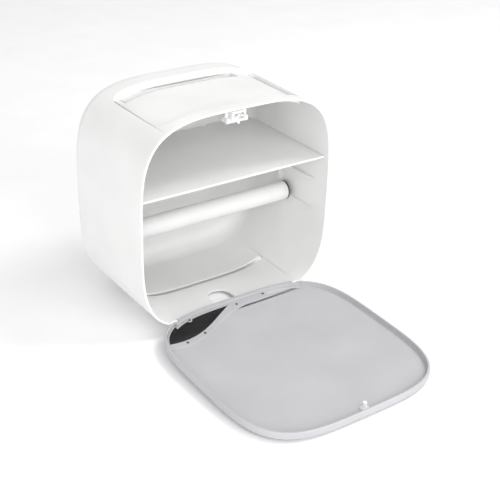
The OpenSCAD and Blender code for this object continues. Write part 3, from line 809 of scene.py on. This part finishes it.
rounded_copy("latch_housing", "latch_housing_moulding", 0.3, "case", "white_plastic")
rounded_copy("latch_slider", "latch_slider_moulding", 0.15, "latch_slide", "white_plastic")
rounded_copy("latch_jaw_left", "latch_jaw_left_moulding", 0.12, "jaw_left", "white_plastic")
rounded_copy("latch_jaw_right", "latch_jaw_right_moulding", 0.12, "jaw_right", "white_plastic")
rounded_copy("latch_cam_pin", "latch_cam_pin_wire", 0.1, "cam_pin", "steel", 1)
rounded_copy("latch_screws", "latch_screws_pair", 0.3, "case", "steel")
rounded_copy("wall_plate", "wall_plate_moulding", 0.35, "case", "white_plastic")
rounded_copy("adhesive_pad", "adhesive_pad_foam", 0.25, "case", "foam_tape")

COIL_FRONT, COIL_BACK = 17.5, 28.0
COIL_R, WIRE_R, COIL_TURNS, COIL_STEPS = 1.55, 0.25, 7, 36


def make_coil():
    """The latch's coil, swept round its helix at one fixed length; the real spring shortens as the slider
    goes in.
    """
    span = COIL_BACK - COIL_FRONT - 2 * WIRE_R
    rings = []
    for k in range(COIL_STEPS * COIL_TURNS + 1):
        a = 2 * math.pi * k / COIL_STEPS
        y = COIL_FRONT + WIRE_R + span * k / (COIL_STEPS * COIL_TURNS)
        rings.append([])
        for b in (math.pi * i / 5 for i in range(10)):
            out = COIL_R + WIRE_R * math.cos(b)
            rings[-1].append((LATCH_X + out * math.cos(a), y + WIRE_R * math.sin(b),
                              LATCH_Z + out * math.sin(a)))
    coil = piece("latch_coil", loft(rings))
    smooth(coil, 50)
    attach(coil, "case")
    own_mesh(coil)
    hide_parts("latch_spring")
    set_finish(coil, "steel")


make_coil()


# ---------------------------------------------------------------------------------------------
# Materials
# ---------------------------------------------------------------------------------------------
NOISE, RANGE, MIX, BUMP = "ShaderNodeTexNoise", "ShaderNodeMapRange", "ShaderNodeMix", "ShaderNodeBump"
SHADER, OUTPUT = "ShaderNodeBsdfPrincipled", "ShaderNodeOutputMaterial"
COLOURS = {"data_type": "RGBA"}
FACTOR, FIRST, SECOND, BLENDED = 0, 6, 7, 2    # the colour sockets of a Mix node


def tint(code):
    """A colour given as sRGB hex, as linear light."""
    parts = [int(code[i:i + 2], 16) / 255 for i in (1, 3, 5)]
    return [c / 12.92 if c <= 0.04045 else ((c + 0.055) / 1.055) ** 2.4 for c in parts] + [1.0]


def put(tree, kind, settings=None, values=None, links=None):
    """Adds one node, sets it and its inputs, and links the others' outputs into it."""
    made = tree.nodes.new(kind)
    for key, value in (settings or {}).items():
        setattr(made, key, value)
    for key, value in (values or {}).items():
        made.inputs[key].default_value = value
    for key, (source, output) in (links or {}).items():
        tree.links.new(source.outputs[output], made.inputs[key])
    return made


def bare(name):
    """A material with nothing in it yet: returns it, its tree and the link to the place on the piece."""
    mat = bpy.data.materials.new(name)
    mat.use_nodes = True
    mat.node_tree.nodes.clear()
    place = put(mat.node_tree, "ShaderNodeTexCoord")
    return mat, mat.node_tree, {"Vector": (place, "Object")}


def per_mm(size, detail=2.0, rough=0.5):
    """A noise's values for features about this many millimetres wide."""
    return {"Scale": 1.0 / (size * MM), "Detail": detail, "Roughness": rough}


def limits(low, high, start=0.3, end=0.7):
    """The values that spread start to end over low to high."""
    return {"From Min": start, "From Max": end, "To Min": low, "To Max": high}


def relief(depth, strength=1.0):
    """A bump's values for a real depth in millimetres."""
    return {"Strength": strength, "Distance": depth * MM}


def moulded(name, pale, dark, rough, grain, depth, glow=0.0):
    """Injection-moulded plastic: an even pigment that clouds a little where the melt fronts met,
    a fine spark-eroded grain taken from the mould, and a slow swell over the walls where they sank."""
    mat, tree, spot = bare(name)
    cloud = put(tree, NOISE, values=per_mm(48.0, 3.0, 0.45), links=spot)
    fleck = put(tree, NOISE, values=per_mm(0.9, 2.0, 0.6), links=spot)
    both = put(tree, "ShaderNodeMath", {"operation": "MULTIPLY_ADD"}, {1: 0.25},
               {0: (fleck, "Fac"), 2: (cloud, "Fac")})
    mixed = put(tree, RANGE, values=limits(0, 1, 0.4, 0.85), links={"Value": (both, "Value")})
    colour = put(tree, MIX, COLOURS, {FIRST: dark, SECOND: pale}, {FACTOR: (mixed, "Result")})
    patch = put(tree, NOISE, values=per_mm(11.0), links=spot)
    dulling = put(tree, RANGE, values=limits(rough - 0.04, rough + 0.05), links={"Value": (patch, "Fac")})
    sink = put(tree, NOISE, values=per_mm(30.0, 1.0), links=spot)
    swell = put(tree, BUMP, values=relief(0.02, 0.6), links={"Height": (sink, "Fac")})
    eroded = put(tree, NOISE, values=per_mm(grain, 2.0, 0.6), links=spot)
    skin = put(tree, BUMP, values=relief(depth, 0.7),
               links={"Height": (eroded, "Fac"), "Normal": (swell, "Normal")})
    shader = put(tree, SHADER, values={"IOR": 1.53, "Subsurface Weight": glow,
                                       "Subsurface Radius": (1.0, 1.0, 0.95), "Subsurface Scale": 0.003},
                 links={"Base Color": (colour, BLENDED), "Roughness": (dulling, "Result"),
                        "Normal": (skin, "Normal")})
    put(tree, OUTPUT, links={"Surface": (shader, "BSDF")})
    return mat


def metal(name, pale, dark, rough, size, depth, stretch=None):
    """Drawn or plated metal: fine lines along the wire and a slight unevenness of the plating."""
    mat, tree, spot = bare(name)
    along = spot
    if stretch:
        drawn = put(tree, "ShaderNodeMapping", values={"Scale": stretch}, links=spot)
        along = {"Vector": (drawn, "Vector")}
    lines = put(tree, NOISE, values=per_mm(size, 3.0, 0.6), links=along)
    mixed = put(tree, RANGE, values=limits(0, 1), links={"Value": (lines, "Fac")})
    colour = put(tree, MIX, COLOURS, {FIRST: dark, SECOND: pale}, {FACTOR: (mixed, "Result")})
    patch = put(tree, NOISE, values=per_mm(2.5), links=spot)
    dulling = put(tree, RANGE, values=limits(rough - 0.06, rough + 0.08), links={"Value": (patch, "Fac")})
    skin = put(tree, BUMP, values=relief(depth, 0.6), links={"Height": (lines, "Fac")})
    shader = put(tree, SHADER, values={"Metallic": 1.0},
                 links={"Base Color": (colour, BLENDED), "Roughness": (dulling, "Result"),
                        "Normal": (skin, "Normal")})
    put(tree, OUTPUT, links={"Surface": (shader, "BSDF")})
    return mat


def smoked_acrylic():
    """The window: smoked acrylic polished in the mould, so it reads near black with a sharp glint."""
    mat, tree, spot = bare("smoked_acrylic")
    haze = put(tree, NOISE, values=per_mm(14.0), links=spot)
    mixed = put(tree, RANGE, values=limits(0, 1), links={"Value": (haze, "Fac")})
    colour = put(tree, MIX, COLOURS, {FIRST: tint("#0d0d0f"), SECOND: tint("#151517")},
                 {FACTOR: (mixed, "Result")})
    patch = put(tree, NOISE, values=per_mm(3.0), links=spot)
    dulling = put(tree, RANGE, values=limits(0.10, 0.17), links={"Value": (patch, "Fac")})
    wave = put(tree, NOISE, values=per_mm(22.0, 1.0), links=spot)
    skin = put(tree, BUMP, values=relief(0.01, 0.5), links={"Height": (wave, "Fac")})
    shader = put(tree, SHADER, values={"IOR": 1.49, "Specular IOR Level": 0.3},
                 links={"Base Color": (colour, BLENDED), "Roughness": (dulling, "Result"),
                        "Normal": (skin, "Normal")})
    put(tree, OUTPUT, links={"Surface": (shader, "BSDF")})
    return mat


def epdm_rubber():
    """The roller's end washers: black EPDM rubber, cut from sheet, dull with a dusting of talc."""
    mat, tree, spot = bare("black_epdm_rubber")
    talc = put(tree, NOISE, values=per_mm(0.8, 4.0, 0.65), links=spot)
    mixed = put(tree, RANGE, values=limits(0, 1, 0.45, 0.8), links={"Value": (talc, "Fac")})
    colour = put(tree, MIX, COLOURS, {FIRST: tint("#1c1c1c"), SECOND: tint("#2f2f30")},
                 {FACTOR: (mixed, "Result")})
    dulling = put(tree, RANGE, values=limits(0.6, 0.8), links={"Value": (talc, "Fac")})
    skin = put(tree, BUMP, values=relief(0.02), links={"Height": (talc, "Fac")})
    shader = put(tree, SHADER, values={"IOR": 1.52},
                 links={"Base Color": (colour, BLENDED), "Roughness": (dulling, "Result"),
                        "Normal": (skin, "Normal")})
    put(tree, OUTPUT, links={"Surface": (shader, "BSDF")})
    return mat


def cell_foam():
    """The adhesive pad: closed-cell foam, its cut face pitted with cells."""
    mat, tree, spot = bare("closed_cell_foam")
    cells = put(tree, "ShaderNodeTexVoronoi", values={"Scale": 1.0 / (0.9 * MM)}, links=spot)
    mixed = put(tree, RANGE, values=limits(0, 1, 0.1, 0.7), links={"Value": (cells, "Distance")})
    colour = put(tree, MIX, COLOURS, {FIRST: tint("#d9d9d6"), SECOND: tint("#efefec")},
                 {FACTOR: (mixed, "Result")})
    patch = put(tree, NOISE, values=per_mm(4.0), links=spot)
    dulling = put(tree, RANGE, values=limits(0.75, 0.9), links={"Value": (patch, "Fac")})
    skin = put(tree, BUMP, values=relief(0.12), links={"Height": (cells, "Distance")})
    shader = put(tree, SHADER, values={"IOR": 1.45},
                 links={"Base Color": (colour, BLENDED), "Roughness": (dulling, "Result"),
                        "Normal": (skin, "Normal")})
    put(tree, OUTPUT, links={"Surface": (shader, "BSDF")})
    return mat


def floor_paint():
    """The floor: matt white board."""
    mat, tree, spot = bare("matt_white_board")
    cloud = put(tree, NOISE, values=per_mm(60.0, 3.0), links=spot)
    mixed = put(tree, RANGE, values=limits(0, 1), links={"Value": (cloud, "Fac")})
    colour = put(tree, MIX, COLOURS, {FIRST: tint("#fafafb"), SECOND: tint("#fdfdfe")},
                 {FACTOR: (mixed, "Result")})
    patch = put(tree, NOISE, values=per_mm(25.0), links=spot)
    dulling = put(tree, RANGE, values=limits(0.85, 0.95), links={"Value": (patch, "Fac")})
    shader = put(tree, SHADER, values={"IOR": 1.45},
                 links={"Base Color": (colour, BLENDED), "Roughness": (dulling, "Result")})
    put(tree, OUTPUT, links={"Surface": (shader, "BSDF")})
    return mat


FINISHES = {
    # The case: white ABS off a lightly textured mould, so light spreads into a soft satin sheen.
    "white_plastic": moulded("white_moulded_abs", tint("#eaeae9"), tint("#e4e4e3"), 0.38, 0.55, 0.006, 0.35),
    # The door: the same ABS pigmented pale grey and duller, from a coarser mould on its inner side.
    "grey_plastic": moulded("grey_moulded_abs", tint("#bbbbbd"), tint("#b3b3b6"), 0.46, 0.7, 0.009),
    "smoked_plastic": smoked_acrylic(),
    "black_rubber": epdm_rubber(),
    # The axle, pins and spring: steel drawn to size and zinc plated, lines along the rod.
    "steel": metal("zinc_plated_steel", tint("#cfd0d2"), tint("#b5b7ba"), 0.28, 0.5, 0.004, (0.05, 1, 1)),
    # The frame's screws: blackened steel, so only the rims of the heads catch light.
    "dark_screws": metal("black_oxide_steel", tint("#4a4a4c"), tint("#333335"), 0.42, 0.4, 0.004),
    "foam_tape": cell_foam(),
}
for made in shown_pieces():
    made.data.materials.clear()
    made.data.materials.append(FINISHES[made["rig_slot"]])


# ---------------------------------------------------------------------------------------------
# Floor, light and camera
# ---------------------------------------------------------------------------------------------
FLOOR_REACH, FLOOR_DROP = 4000, 2.5
TURN, RISE, TILT = math.radians(-35.782), math.radians(28.257), math.radians(-1.827)
EYE = (-493.8, -702.3, 530.0)
FOCAL, SENSOR = 74.19, 36.0


def make_floor():
    bm = bmesh.new()
    corners = [(-1, -1), (1, -1), (1, 1), (-1, 1)]
    bm.faces.new([bm.verts.new(at(x * FLOOR_REACH, y * FLOOR_REACH, -FLOOR_DROP)) for x, y in corners])
    board = piece("pale_floor", bm)
    board.data.materials.append(floor_paint())


def make_room():
    """Even white light from all round."""
    sky = bpy.data.worlds.new("white_room")
    bpy.context.scene.world = sky
    sky.use_nodes = True
    light = sky.node_tree.nodes["Background"]
    light.inputs["Color"].default_value = (1.0, 1.0, 1.0, 1.0)
    light.inputs["Strength"].default_value = 0.7


def lamp(name, place_mm, look_mm, width, height, watts):
    """A softbox at one point that faces another; its sides are in metres."""
    data = bpy.data.lights.new(name, "AREA")
    data.shape, data.size, data.size_y, data.energy = "RECTANGLE", width, height, watts
    obj = bpy.data.objects.new(name, data)
    bpy.context.scene.collection.objects.link(obj)
    obj.location = at(*place_mm)
    obj.rotation_euler = (at(*look_mm) - at(*place_mm)).to_track_quat("-Z", "Y").to_euler()


def make_camera():
    """The camera looks from EYE along its turn and rise, tilted a little about its own line of sight."""
    back = Vector((math.sin(TURN) * math.cos(RISE), -math.cos(TURN) * math.cos(RISE), math.sin(RISE)))
    flat = (-back).cross(Vector((0, 0, 1))).normalized()
    drop = (-back).cross(flat)
    right = flat * math.cos(TILT) + drop * math.sin(TILT)
    down = drop * math.cos(TILT) - flat * math.sin(TILT)
    data = bpy.data.cameras.new("front_camera")
    data.lens, data.sensor_width = FOCAL, SENSOR
    data.clip_start, data.clip_end = 0.01, 50.0
    camera = bpy.data.objects.new("front_camera", data)
    bpy.context.scene.collection.objects.link(camera)
    facing = Matrix((right, -down, back)).transposed().to_4x4()
    camera.matrix_world = Matrix.Translation(at(*EYE)) @ facing
    bpy.context.scene.camera = camera


make_floor()
make_room()
lamp("key_softbox", (1100, -500, 1700), (0, 0, 90), 0.7, 0.7, 15.0)
lamp("fill_softbox", (-1300, -1200, 700), (0, 0, 90), 1.2, 1.2, 11.0)
lamp("front_softbox", (100, -1800, 900), (0, 0, 120), 1.4, 1.0, 17.0)
bpy.context.scene.view_settings.view_transform = "Standard"
make_camera()
